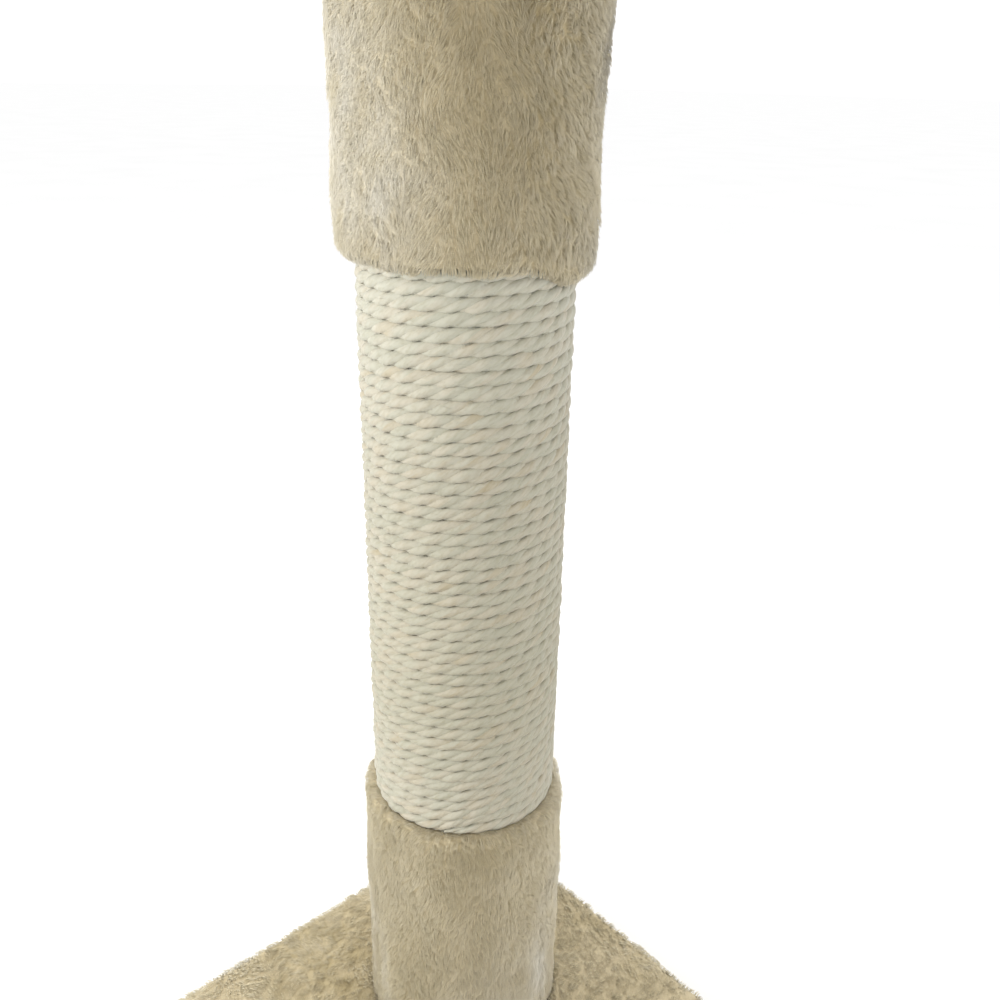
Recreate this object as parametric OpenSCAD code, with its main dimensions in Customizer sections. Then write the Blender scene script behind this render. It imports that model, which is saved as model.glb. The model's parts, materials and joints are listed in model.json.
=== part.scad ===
// Cat tree: a plush-covered base, one scratching post wound with sisal rope
// between two plush sleeves, and a plush-covered perch on top of the post.
// Millimetres, +Z up. The origin is on the floor, under the middle of the base.
// The post stands near the base's corner at -X, +Y, and the perch's edges are
// flush with the base's edges at that corner.

/* [Base] */
// Width of the base board, along X
base_w = 400; // [380:5:600]
// Depth of the base board, along Y
base_d = 400; // [380:5:600]
// Thickness of the base board and of the perch board
board_t = 15; // [14:1:22]
// Radius of the boards' corners, seen from above
board_corner_r = 20; // [10:1:40]

/* [Perch] */
// Width of the perch board, along X
perch_w = 300; // [260:5:380]
// Depth of the perch board, along Y
perch_d = 300; // [260:5:380]

/* [Post] */
// Distance from the post's axis to the two board edges nearest to it
post_inset = 83; // [78:1:110]
// Outer diameter of the cardboard tube
tube_od = 77; // [70:1:80]
// Wall of the cardboard tube
tube_wall = 4.5; // [3.5:0.5:6]
// Length of the cardboard tube
tube_len = 550; // [500:5:700]
// Height of the first rope turn above the tube's foot
rope_start = 143; // [100:1:160]
// Thickness of the two plugs in the tube's ends
plug_t = 18; // [16:1:24]

/* [Rope] */
// Diameter of the sisal rope as it lies on the tube
rope_d = 5.4; // [5:0.1:6]
// Number of turns
rope_turns = 49; // [40:1:52]

/* [Plush] */
// Depth of the pile on the boards
pile_t = 7; // [5:0.5:9]
// Depth of the pile on the perch's underside
under_pile_t = 5; // [4:0.5:6]
// Depth of the pile on the lower sleeve
lower_pile_t = 10.4; // [8:0.2:12]
// Depth of the pile on the upper sleeve
upper_pile_t = 12.4; // [10:0.2:14]
// Length of the upper sleeve's pile that hangs over the rope
overhang = 10.5; // [6:0.5:14]
// Thickness of plush that is crushed between two hard pieces
crushed_t = 1.5; // [1:0.1:2]
// Width of the cover's margin that is wrapped under a board
wrap_w = 30; // [25:1:35]
// Thickness of that margin
wrap_t = 2; // [1.5:0.5:3]
// Thickness of the lining under the base
lining_t = 0.8; // [0.5:0.1:1.2]

/* [Fasteners] */
// Nominal diameter of the bolt and the stud
bolt_d = 8; // [6:1:8]
// Length of the base bolt, under its head
bolt_len = 35; // [33:1:40]
// Length of the perch stud
stud_len = 40; // [36:1:44]
// Diameter of the base's locking screw
screw_d = 4; // [3.5:0.5:5]
// Length of the base's locking screw
screw_len = 30; // [28:1:32]
// Diameter of the perch's locking dowel
dowel_d = 8; // [6:1:8]
// Distance from the post's axis to the locking screw and the dowel
lock_offset = 22; // [20:1:24]
// Staples along each side of a board
staples_per_side = 5; // [3:1:6]

/* [Hidden] */
$fn = 96;

plush_colour = [0.68, 0.63, 0.51];
rope_colour = [0.84, 0.81, 0.72];
wood_colour = [0.78, 0.66, 0.48];
card_colour = [0.66, 0.54, 0.40];
steel_colour = [0.72, 0.73, 0.75];
lining_colour = [0.24, 0.23, 0.22];

gap = 0.1;          // between a glued sleeve or a plug and the tube
soft_gap = 0.3;     // between two plush pieces
hole_gap = 0.05;    // around a bolt, a stud or a dowel
through = 1;        // how far a cut runs past a face

// Heights
base_z = wrap_t;
base_top = base_z + board_t;
foot_z = base_top + crushed_t;
rope_z = foot_z + rope_start;
rope_len = rope_turns * rope_d;
rope_top = rope_z + rope_len;
tube_top = foot_z + tube_len;
perch_z = tube_top + crushed_t;
perch_top = perch_z + board_t;

// Places
post_x = -base_w / 2 + post_inset;
post_y = base_d / 2 - post_inset;
perch_x = -(base_w - perch_w) / 2;
perch_y = (base_d - perch_d) / 2;

// Post
tube_r = tube_od / 2;
tube_in_r = tube_r - tube_wall;
glue_r = tube_r + gap;
rope_r = glue_r + rope_d / 2;
rope_out_r = glue_r + rope_d;
rim_r = 5;          // rounding of a sleeve's free rim

// Plush on the boards
edge_r = 9;         // rounding along a cover's upper edge
window_r = 12;      // corner radius of the opening inside a wrapped margin

// Bolt, stud and threaded inserts
bolt_r = bolt_d / 2;
clear_r = bolt_r + 0.5;
head_af = 13;
head_h = 5.3;
washer_r = 12;
washer_t = 1.6;
recess_r = 13;
recess_h = 8;
insert_r = bolt_r + 1.2;
insert_len = 11.5;
flange_r = 11;
flange_t = 1.5;

// Locking screw and dowel
screw_head_r = screw_d;
screw_head_h = screw_d / 2;
dowel_len = 24;
dowel_depth = dowel_len / 2;

// Staples
wire_w = 1.2;
wire_t = 0.6;
crown_l = 10;
leg_l = 9;
slot_gap = 0.1;
staple_edge = 14;   // from a board's edge to the crown
staple_end = 45;    // from a board's corner to the first crown
crown_z = 1;        // from the wrapped margin's underside to the crown's upper side
plug_staples = 4;

// ---------- shared shapes ----------

module at_post(z = 0) {
    translate([post_x, post_y, z]) children();
}

module at_perch(z = 0) {
    translate([perch_x, perch_y, z]) children();
}

// A flat plate with round corners, standing on z = 0
module plate(w, d, h, r) {
    linear_extrude(height = h) {
        square([w - 2 * r, d], center = true);
        square([w, d - 2 * r], center = true);
        for (sx = [-1, 1], sy = [-1, 1]) {
            translate([sx * (w / 2 - r), sy * (d / 2 - r)]) circle(r = r);
        }
    }
}

// The outer form of a plush cover: a plate whose upper edge is rounded
module padded_plate(w, d, h, r) {
    hull() {
        for (sx = [-1, 1], sy = [-1, 1]) {
            translate([sx * (w / 2 - r), sy * (d / 2 - r), 0]) {
                cylinder(r = r, h = 1, $fn = 32);
                translate([0, 0, h - edge_r]) {
                    rotate_extrude($fn = 32) {
                        translate([r - edge_r, 0]) circle(r = edge_r, $fn = 32);
                    }
                }
            }
        }
    }
}

// A staple: crown along X just below z = 0, legs pointing up. As a cut it is
// wider all round by grow, and the crown's slot runs down through the cloth.
module staple(grow = 0) {
    slot_h = grow > 0 ? wrap_t : 0;
    translate([-crown_l / 2 - grow, -wire_w / 2 - grow, -wire_t - slot_h]) {
        cube([crown_l + 2 * grow, wire_w + 2 * grow, wire_t + slot_h + grow]);
    }
    for (s = [-1, 1]) {
        translate([s * (crown_l - wire_t) / 2, 0, leg_l / 2]) {
            cube([wire_t + 2 * grow, wire_w + 2 * grow, leg_l + 2 * grow], center = true);
        }
    }
}

// Staples in a row along each side of a board that is centred on the origin
module board_staples(w, d, grow = 0) {
    for (side = [0:3]) {
        across = side % 2 == 0 ? d : w;
        along = side % 2 == 0 ? w : d;
        pitch = (along - 2 * staple_end) / (staples_per_side - 1);
        rotate([0, 0, 90 * side]) {
            for (i = [0:staples_per_side - 1]) {
                translate([-along / 2 + staple_end + i * pitch, -across / 2 + staple_edge, 0]) {
                    staple(grow);
                }
            }
        }
    }
}

// Staples driven radially into the post, their crowns around it, at radius r
module ring_staples(r, z, grow = 0) {
    at_post(z) {
        for (i = [0:plug_staples - 1]) {
            rotate([0, 0, 45 + 360 * i / plug_staples]) {
                translate([r, 0, 0]) rotate([0, -90, 0]) rotate([0, 0, 90]) staple(grow);
            }
        }
    }
}

// The cover of a board: pile over the top and sides, a margin wrapped under
module cover(w, d) {
    difference() {
        padded_plate(w + 2 * pile_t, d + 2 * pile_t, wrap_t + board_t + pile_t,
                     board_corner_r + pile_t);
        translate([0, 0, wrap_t]) plate(w, d, board_t, board_corner_r);
        translate([0, 0, -through]) {
            plate(w - 2 * wrap_w, d - 2 * wrap_w, wrap_t + 2 * through, window_r);
        }
        translate([0, 0, crown_z]) board_staples(w, d, slot_gap);
    }
}

// A flanged threaded insert, its flange on z = 0 and its barrel above it
module insert() {
    difference() {
        union() {
            cylinder(r = insert_r, h = insert_len);
            translate([0, 0, -flange_t]) cylinder(r = flange_r, h = flange_t);
        }
        translate([0, 0, -flange_t - through]) {
            cylinder(r = bolt_r + hole_gap, h = insert_len + flange_t + 2 * through);
        }
    }
}

// The two rope staples, at the back: one over the first two turns and one over
// the last two, under the upper sleeve's overhang
module end_staples(grow = 0) {
    for (z = [rope_z + rope_d, rope_top - rope_d]) {
        at_post(z) {
            rotate([0, 0, 135]) {
                translate([rope_out_r, 0, 0]) rotate([0, -90, 0]) staple(grow);
            }
        }
    }
}

// ---------- base ----------

module base_board() {
    color(wood_colour) {
        difference() {
            translate([0, 0, base_z]) plate(base_w, base_d, board_t, board_corner_r);
            at_post(base_z - through) {
                cylinder(r = clear_r, h = board_t + 2 * through);
                cylinder(r = recess_r, h = recess_h + through);
            }
            at_post(base_z) translate([lock_offset, 0, 0]) {
                translate([0, 0, -through]) {
                    cylinder(r = screw_d / 2 + hole_gap, h = board_t + 2 * through);
                }
                translate([0, 0, -hole_gap]) {
                    cylinder(r1 = screw_head_r + hole_gap, r2 = screw_d / 2 + hole_gap,
                             h = screw_head_h + 2 * hole_gap);
                }
            }
            translate([0, 0, crown_z]) board_staples(base_w, base_d, slot_gap);
        }
    }
}

module base_cover() {
    color(plush_colour) {
        difference() {
            cover(base_w, base_d);
            at_post(foot_z) cylinder(r = glue_r + gap, h = pile_t + through);
            at_post(base_top - through) {
                cylinder(r = clear_r, h = crushed_t + 2 * through);
                translate([lock_offset, 0, 0]) {
                    cylinder(r = screw_d / 2 + hole_gap, h = crushed_t + 2 * through);
                }
            }
        }
    }
}

module base_lining() {
    color(lining_colour) {
        difference() {
            translate([0, 0, wrap_t - lining_t]) {
                plate(base_w - 2 * wrap_w - 2 * soft_gap, base_d - 2 * wrap_w - 2 * soft_gap,
                      lining_t, window_r);
            }
            at_post(-through) {
                cylinder(r = recess_r, h = wrap_t + 2 * through);
                translate([lock_offset, 0, 0]) {
                    cylinder(r = screw_head_r + 1, h = wrap_t + 2 * through);
                }
            }
        }
    }
}

module base_staples() {
    color(steel_colour) {
        translate([0, 0, crown_z]) board_staples(base_w, base_d);
    }
}

module base_bolt() {
    color(steel_colour) {
        at_post(base_z + recess_h - washer_t) {
            cylinder(r = bolt_r, h = bolt_len);
            translate([0, 0, -head_h]) {
                cylinder(r = head_af / 2 / cos(30), h = head_h, $fn = 6);
            }
        }
    }
}

module base_washer() {
    color(steel_colour) {
        at_post(base_z + recess_h - washer_t) {
            difference() {
                cylinder(r = washer_r, h = washer_t);
                translate([0, 0, -through]) {
                    cylinder(r = bolt_r + 0.2, h = washer_t + 2 * through);
                }
            }
        }
    }
}

module base_lock_screw() {
    color(steel_colour) {
        at_post(base_z) {
            translate([lock_offset, 0, 0]) {
                cylinder(r = screw_d / 2, h = screw_len);
                cylinder(r1 = screw_head_r, r2 = screw_d / 2, h = screw_head_h);
            }
        }
    }
}

// ---------- post ----------

module post_tube() {
    color(card_colour) {
        difference() {
            at_post(foot_z) cylinder(r = tube_r, h = tube_len);
            at_post(foot_z - through) cylinder(r = tube_in_r, h = tube_len + 2 * through);
            ring_staples(tube_r - wire_t, foot_z + plug_t / 2, slot_gap);
            ring_staples(tube_r - wire_t, tube_top - plug_t / 2, slot_gap);
            end_staples(slot_gap);
        }
    }
}

module bottom_plug() {
    color(wood_colour) {
        difference() {
            at_post(foot_z) cylinder(r = tube_in_r - gap, h = plug_t);
            at_post(foot_z - through) {
                cylinder(r = insert_r + hole_gap, h = plug_t + 2 * through);
                translate([lock_offset, 0, 0]) {
                    cylinder(r = screw_d / 2 + hole_gap, h = plug_t);
                }
            }
            ring_staples(tube_r - wire_t, foot_z + plug_t / 2, slot_gap);
        }
    }
}

module bottom_insert() {
    color(steel_colour) {
        at_post(foot_z + plug_t) mirror([0, 0, 1]) insert();
    }
}

module bottom_plug_staples() {
    color(steel_colour) ring_staples(tube_r - wire_t, foot_z + plug_t / 2);
}

module top_plug() {
    color(wood_colour) {
        difference() {
            at_post(tube_top - plug_t) cylinder(r = tube_in_r - gap, h = plug_t);
            at_post(tube_top - plug_t - through) {
                cylinder(r = insert_r + hole_gap, h = plug_t + 2 * through);
            }
            at_post(tube_top - dowel_depth - hole_gap) {
                translate([lock_offset, 0, 0]) {
                    cylinder(r = dowel_d / 2 + hole_gap, h = dowel_depth + through);
                }
            }
            ring_staples(tube_r - wire_t, tube_top - plug_t / 2, slot_gap);
        }
    }
}

module top_insert() {
    color(steel_colour) {
        at_post(tube_top - plug_t) insert();
    }
}

module top_plug_staples() {
    color(steel_colour) ring_staples(tube_r - wire_t, tube_top - plug_t / 2);
}

// The winding: every turn is a round ridge on a thin common wall
module sisal_rope() {
    color(rope_colour) {
        difference() {
            at_post(rope_z) {
                rotate_extrude() {
                    translate([glue_r, 0]) square([rope_d / 2, rope_len]);
                    for (i = [0:rope_turns - 1]) {
                        translate([rope_r, (i + 0.5) * rope_d]) circle(r = rope_d / 2, $fn = 48);
                    }
                }
            }
            end_staples(slot_gap);
        }
    }
}

module rope_staples() {
    color(steel_colour) end_staples();
}

// Both sleeves: a ring of pile whose upper and lower rims are rounded outside
module sleeve(z0, z1, pile) {
    out_r = glue_r + pile;
    at_post(0) {
        rotate_extrude() {
            translate([glue_r, z0]) square([pile - rim_r, z1 - z0]);
            translate([glue_r, z0 + rim_r]) square([pile, z1 - z0 - 2 * rim_r]);
            for (z = [z0 + rim_r, z1 - rim_r]) {
                translate([out_r - rim_r, z]) circle(r = rim_r);
            }
        }
    }
}

module lower_sleeve() {
    color(plush_colour) {
        sleeve(base_top + pile_t + soft_gap, rope_z - soft_gap, lower_pile_t);
    }
}

module upper_sleeve() {
    color(plush_colour) {
        difference() {
            sleeve(rope_top - overhang, perch_z - under_pile_t - soft_gap, upper_pile_t);
            at_post(rope_top - overhang - through) {
                cylinder(r = rope_out_r + wire_t + soft_gap, h = overhang + through + soft_gap);
            }
        }
    }
}

// ---------- perch ----------

module perch_board() {
    color(wood_colour) {
        difference() {
            at_perch(perch_z) plate(perch_w, perch_d, board_t, board_corner_r);
            at_post(perch_z - through) {
                cylinder(r = insert_r + hole_gap, h = board_t + 2 * through);
                translate([lock_offset, 0, 0]) {
                    cylinder(r = dowel_d / 2 + hole_gap, h = dowel_depth - crushed_t + through);
                }
            }
            at_post(perch_top - flange_t - hole_gap) {
                cylinder(r = flange_r + hole_gap, h = flange_t + through);
            }
            at_perch(perch_z - wrap_t + crown_z) board_staples(perch_w, perch_d, slot_gap);
        }
    }
}

module perch_cover() {
    color(plush_colour) at_perch(perch_z - wrap_t) cover(perch_w, perch_d);
}

// The plush panel under the perch, crushed where the post meets it
module perch_underside() {
    color(plush_colour) {
        difference() {
            at_perch(perch_z - under_pile_t) {
                plate(perch_w - 2 * wrap_w - 2 * soft_gap, perch_d - 2 * wrap_w - 2 * soft_gap,
                      under_pile_t, window_r);
            }
            at_post(perch_z - under_pile_t - through) {
                cylinder(r = glue_r + gap, h = under_pile_t - crushed_t + through);
                cylinder(r = clear_r, h = under_pile_t + 2 * through);
                translate([lock_offset, 0, 0]) {
                    cylinder(r = dowel_d / 2 + hole_gap, h = under_pile_t + 2 * through);
                }
            }
        }
    }
}

module perch_staples() {
    color(steel_colour) {
        at_perch(perch_z - wrap_t + crown_z) board_staples(perch_w, perch_d);
    }
}

module perch_stud() {
    color(steel_colour) {
        at_post(perch_top - flange_t - stud_len) cylinder(r = bolt_r, h = stud_len);
    }
}

module perch_insert() {
    color(steel_colour) {
        at_post(perch_top - flange_t) mirror([0, 0, 1]) insert();
    }
}

module perch_dowel() {
    color(wood_colour) {
        at_post(tube_top - dowel_depth) {
            translate([lock_offset, 0, 0]) cylinder(r = dowel_d / 2, h = dowel_len - 2 * hole_gap);
        }
    }
}

base_board();
base_cover();
base_lining();
base_staples();
base_bolt();
base_washer();
base_lock_screw();
post_tube();
bottom_plug();
bottom_insert();
bottom_plug_staples();
top_plug();
top_insert();
top_plug_staples();
sisal_rope();
rope_staples();
lower_sleeve();
upper_sleeve();
perch_board();
perch_cover();
perch_underside();
perch_staples();
perch_stud();
perch_insert();
perch_dowel();
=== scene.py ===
"""Cat tree: a plush-covered base and perch, joined by one post that is wound with
sisal rope between two plush sleeves. The pile and the rope are real geometry."""

import json
import math

import bpy
import numpy as np
from mathutils import Matrix, Vector
from mathutils.kdtree import KDTree


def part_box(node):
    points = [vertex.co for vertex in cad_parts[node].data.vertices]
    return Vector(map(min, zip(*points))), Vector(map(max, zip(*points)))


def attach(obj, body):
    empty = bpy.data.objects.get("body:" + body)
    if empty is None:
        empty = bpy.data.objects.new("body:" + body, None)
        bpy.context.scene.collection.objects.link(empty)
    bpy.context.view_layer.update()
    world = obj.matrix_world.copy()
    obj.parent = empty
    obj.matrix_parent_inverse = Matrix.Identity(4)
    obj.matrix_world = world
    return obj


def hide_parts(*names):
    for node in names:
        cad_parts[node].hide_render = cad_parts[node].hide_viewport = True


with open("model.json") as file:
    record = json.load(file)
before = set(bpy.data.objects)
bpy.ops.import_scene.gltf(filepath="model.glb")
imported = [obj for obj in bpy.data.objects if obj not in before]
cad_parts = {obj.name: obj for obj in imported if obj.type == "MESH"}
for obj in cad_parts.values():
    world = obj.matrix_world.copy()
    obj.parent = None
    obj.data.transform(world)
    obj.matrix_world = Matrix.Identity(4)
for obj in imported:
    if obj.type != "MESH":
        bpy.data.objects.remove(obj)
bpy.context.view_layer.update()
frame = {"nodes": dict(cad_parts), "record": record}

MM = 0.001
TAU = 2 * math.pi
UP = np.array([0, 0, 1.0])
BODY = "root"

# ---------- places and sizes, all from the frame ----------

tube_low, tube_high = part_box("post_tube")
rope_low, rope_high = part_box("sisal_rope")
lower_low, lower_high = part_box("lower_sleeve")
upper_low, upper_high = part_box("upper_sleeve")
base_low, base_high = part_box("base_cover")
panel_low, panel_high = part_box("perch_underside")

POST_X = (tube_low.x + tube_high.x) / 2
POST_Y = (tube_low.y + tube_high.y) / 2
TUBE_R = (tube_high.x - tube_low.x) / 2
ROPE_OUT_R = (rope_high.x - rope_low.x) / 2
ROPE_D = ROPE_OUT_R - TUBE_R
LOWER_R = (lower_high.x - lower_low.x) / 2
UPPER_R = (upper_high.x - upper_low.x) / 2
BOARD_CORNER_R = 20 * MM

# ---------- camera ----------

HEADING = math.radians(47.5)     # turned left from +Y
TILT = math.radians(23.73)       # below the horizon
ROLL = math.radians(1.1)
DISTANCE = 389.2 * MM            # level distance to the post's axis
ASIDE = 15.2 * MM                # to the right of the post's axis
RISE = 457.1 * MM                # above the pile of the base
LENS = 35

# directions around the post
FRONT = HEADING - math.pi / 2    # towards the camera
SEAM = FRONT + math.pi           # where the sleeves close


def make_camera():
    """The photo's camera: close to the post, as high as its upper part, looking down at its foot."""
    level = Vector((-math.sin(HEADING), math.cos(HEADING), 0))
    right = Vector((math.cos(HEADING), math.sin(HEADING), 0))
    up = Vector((0, 0, 1))
    look = level * math.cos(TILT) - up * math.sin(TILT)
    over = level * math.sin(TILT) + up * math.cos(TILT)
    across = right * math.cos(ROLL) + over * math.sin(ROLL)
    over = over * math.cos(ROLL) - right * math.sin(ROLL)
    camera = bpy.data.objects.new("camera", bpy.data.cameras.new("camera"))
    camera.data.lens = LENS
    camera.data.clip_start = 0.01
    turn = Matrix((across, over, -look)).transposed().to_4x4()
    spot = Vector((POST_X, POST_Y, base_high.z + RISE)) - level * DISTANCE + right * ASIDE
    camera.matrix_world = Matrix.Translation(spot) @ turn
    bpy.context.collection.objects.link(camera)
    bpy.context.scene.camera = camera


make_camera()

# ---------- mesh and noise helpers ----------

WAVE_COUNT = 14


def make_piece(name, points, *faces):
    """A smooth mesh object from an array of points and arrays of triangles or quads."""
    mesh = bpy.data.meshes.new(name)
    mesh.vertices.add(len(points))
    mesh.vertices.foreach_set("co", np.asarray(points, np.float32).ravel())
    corners = np.concatenate([f.ravel() for f in faces]).astype(np.int32)
    sizes = np.concatenate([np.full(len(f), f.shape[1]) for f in faces])
    starts = np.concatenate([[0], np.cumsum(sizes)[:-1]]).astype(np.int32)
    mesh.loops.add(len(corners))
    mesh.loops.foreach_set("vertex_index", corners)
    mesh.polygons.add(len(sizes))
    mesh.polygons.foreach_set("loop_start", starts)
    mesh.polygons.foreach_set("use_smooth", np.ones(len(sizes), bool))
    mesh.update(calc_edges=True)
    piece = bpy.data.objects.new(name, mesh)
    bpy.context.collection.objects.link(piece)
    return piece


def finish_piece(piece, material):
    piece.data.materials.append(material)
    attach(piece, BODY)


def unit(v):
    """Vectors of length 1."""
    return v / np.maximum(np.linalg.norm(v, axis=-1, keepdims=True), 1e-12)


def waves(points, size, seed):
    """A smooth random value, mostly from -1 to 1, at each point. Its bumps are about size / 2 across."""
    rng = np.random.default_rng(seed)
    ways = unit(rng.normal(size=(WAVE_COUNT, 3))) * TAU / size * rng.uniform(0.6, 1.5, (WAVE_COUNT, 1))
    turned = points @ ways.T + rng.uniform(0, TAU, WAVE_COUNT)
    return np.sin(turned).sum(1) * math.sqrt(1 / WAVE_COUNT)


def smooth(x, low, high):
    """Rises smoothly from 0 where x is low to 1 where it is high."""
    t = np.clip((x - low) / (high - low), 0, 1)
    return t * t * (3 - 2 * t)


def along_surface(way, normal):
    """The direction of way, laid along the surface."""
    return unit(way - normal * (way * normal).sum(1, keepdims=True))


def lengths_along(profile):
    """How far along a profile each of its points lies."""
    return np.concatenate([[0], np.cumsum(np.linalg.norm(np.diff(profile, axis=0), axis=1))])


def on_profile(at, arc, values):
    """Both columns of a profile's values at distances along it."""
    return (np.interp(at, arc, values[:, k]) for k in (0, 1))


def grid_faces(rows, columns, wrap_rows=False):
    """Quads over a grid of points whose columns close into a ring."""
    i = np.arange(rows if wrap_rows else rows - 1)[:, None]
    j = np.arange(columns)[None, :]
    down, right = (i + 1) % rows, (j + 1) % columns
    return np.stack(
        [i * columns + j, i * columns + right, down * columns + right, down * columns + j], -1
    ).reshape(-1, 4)


# ---------- directions and distances round the post ----------


def around_post(angle, radius, z):
    """Points round the post's axis."""
    return np.stack([
        POST_X + radius * np.cos(angle), POST_Y + radius * np.sin(angle), z + 0 * angle
    ], -1)


def keep_off(points, radius, below):
    """Moves points that are nearer to the post's axis than radius, and lower than below, out."""
    away = points[:, :2] - (POST_X, POST_Y)
    r = np.hypot(*away.T)
    out = np.where((r < radius) & (points[:, 2] < below), radius / np.maximum(r, 1e-6), 1)
    points = points.copy()
    points[:, :2] = away * out[:, None] + (POST_X, POST_Y)
    return points


def outward(angle):
    """The level unit vector away from the post's axis."""
    return np.stack([np.cos(angle), np.sin(angle), 0 * angle], -1)


def onward(angle):
    """The level unit vector round the post."""
    return np.stack([-np.sin(angle), np.cos(angle), 0 * angle], -1)


def angle_from(direction, angle):
    """How far angle is from direction, from -pi to pi."""
    return np.angle(np.exp(1j * (angle - direction)))


def from_axis(points):
    """Each point's level distance from the post's axis."""
    return np.hypot(points[:, 0] - POST_X, points[:, 1] - POST_Y)


# ---------- light patches: painted highlight and painted shade on the pile ---
# Each starts with degrees to the camera's right of the front, and ends with how much painted highlight
# the pile gets there, or painted shade where that is below 0, as round the post's foot and under the
# rope. On the sleeves they also smooth or ruffle the pile.

# on the base: distance from the post's axis, and the patch's size
BASE_LIGHT_PATCHES = (
    (-92, 68 * MM, 52 * MM, -0.75), (108, 85 * MM, 50 * MM, -0.45),
    (100, 75 * MM, 18 * MM, 0.4), (-92, 64 * MM, 12 * MM, -0.2),
)
# on the sleeves: height above the base's pile or the upper sleeve's rim, and half the patch's
# width and height
LOWER_LIGHT_PATCHES = (
    (-54, 31 * MM, 7 * MM, 40 * MM, 0.9), (57, 36 * MM, 9 * MM, 36 * MM, 0.7),
    (-64, 61 * MM, 36 * MM, 75 * MM, -0.35), (0, 137 * MM, 300 * MM, 7 * MM, -0.3),
    (-20, 16 * MM, 9 * MM, 12 * MM, 0.4), (20, 124 * MM, 30 * MM, 12 * MM, -0.25),
    (25, 21 * MM, 40 * MM, 45 * MM, 0.5),
)
UPPER_LIGHT_PATCHES = (
    (-27, 30.4 * MM, 18 * MM, 22 * MM, 0.6), (-62, 64.4 * MM, 30 * MM, 90 * MM, 0.6),
    (50, 59.4 * MM, 38 * MM, 80 * MM, -0.6), (10, 104.4 * MM, 25 * MM, 40 * MM, -0.15),
)


def painted_light_patches(points, sign):
    """From 0 to 1, how much painted highlight the pile at each point gets, for sign 1, or painted
    shade, for sign -1. On the sleeves the same patches also smooth or ruffle the pile."""
    turn = np.arctan2(points[:, 1] - POST_Y, points[:, 0] - POST_X) - FRONT
    total = np.zeros(len(points))
    for foot, light_spots in ((base_high.z, LOWER_LIGHT_PATCHES), (upper_low.z, UPPER_LIGHT_PATCHES)):
        for side, height, wide, tall, amount in light_spots:
            across = np.sin((turn - math.radians(side)) / 2) * 2 * UPPER_R / wide
            along = (points[:, 2] - foot - height) / tall
            total += sign * amount * np.exp(-(across**2) - along**2)
    total *= from_axis(points) < UPPER_R
    for side, distance, size, amount in BASE_LIGHT_PATCHES:
        spot = around_post(np.array([FRONT + math.radians(side)]), distance, base_high.z)
        total += sign * amount * np.exp(-((points - spot) ** 2).sum(1) / size**2)
    return np.clip(total * (0.8 + 0.3 * waves(points, 16 * MM, 90)), 0, 1)


# ---------- pile: tapered strands that stand on a surface ----------

SIDES = 3
RING = np.arange(SIDES) * TAU / SIDES
STRANDS_PER_PIECE = 19000        # the most strands in one object; keeps a piece under the mesh export's face limit
SOFT_SHADE = 0.15                # how far a strand's shading follows its own roundness
MID_WIDTH = 0.8                  # a strand's width at its middle, as a share of its foot's
MID_LEAN = 0.55                  # how far a strand's lower half leans, as a share of its lean
TIP_LEAN = 1.35                  # and its upper half
MOST_LEAN = 1.62                 # a little below level, so that tips lie on their neighbours
MID_PULL = 0.45                  # how far a strand's middle follows its tip towards the tuft

# how much more the pile swirls, stands up and clumps in a patch of painted shade, and how much less in
# one of painted highlight
RUFFLED_SWIRL = 0.6
RUFFLED_LIFT = 0.35
RUFFLED_PULL = 0.7


def strand_mesh(name, root, mid, tip, width, shade_normal):
    """One object of closed tapered strands, each bent once at mid."""
    n = len(root)
    along = unit(tip - root)
    side = unit(np.cross(along, shade_normal))
    over = np.cross(along, side)
    ring = side[:, None] * np.cos(RING)[:, None] + over[:, None] * np.sin(RING)[:, None]
    half = width[:, None, None] / 2
    points = np.concatenate(
        [root[:, None] + ring * half, mid[:, None] + ring * half * MID_WIDTH, tip[:, None]], 1
    )
    per = points.shape[1]
    start = (np.arange(n) * per)[:, None, None]
    k = np.arange(SIDES)
    k2 = (k + 1) % SIDES
    walls = np.stack([k, k2, k2 + SIDES, k + SIDES], -1)
    ends = np.stack([k + SIDES, k2 + SIDES, np.full(SIDES, 2 * SIDES)], -1)
    foot = np.arange(SIDES)[::-1][None]
    piece = make_piece(
        name,
        points.reshape(-1, 3),
        (start + walls).reshape(-1, 4),
        (start + ends).reshape(-1, 3),
        (start + foot).reshape(-1, SIDES),
    )
    set_values(piece, "height", np.tile([0, 0, 0, 0.5, 0.5, 0.5, 1], n))
    mark_painted_light(piece, np.repeat(root, per, axis=0))
    soft = unit(
        np.concatenate([ring, ring, np.zeros((n, 1, 3))], 1) * SOFT_SHADE + shade_normal[:, None]
    )
    piece.data.normals_split_custom_set_from_vertices(soft.reshape(-1, 3))
    return piece


def mark_painted_light(piece, points):
    """Tells the materials how much painted highlight and painted shade the pile at each vertex gets."""
    set_values(piece, "painted_light_patches", painted_light_patches(points, 1))
    set_values(piece, "painted_shade_patches", painted_light_patches(points, -1))


def set_values(piece, name, values):
    """Gives each vertex a value that a material can read."""
    layer = piece.data.attributes.new(name, "FLOAT", "POINT")
    layer.data.foreach_set("value", np.asarray(values, np.float32))


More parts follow.
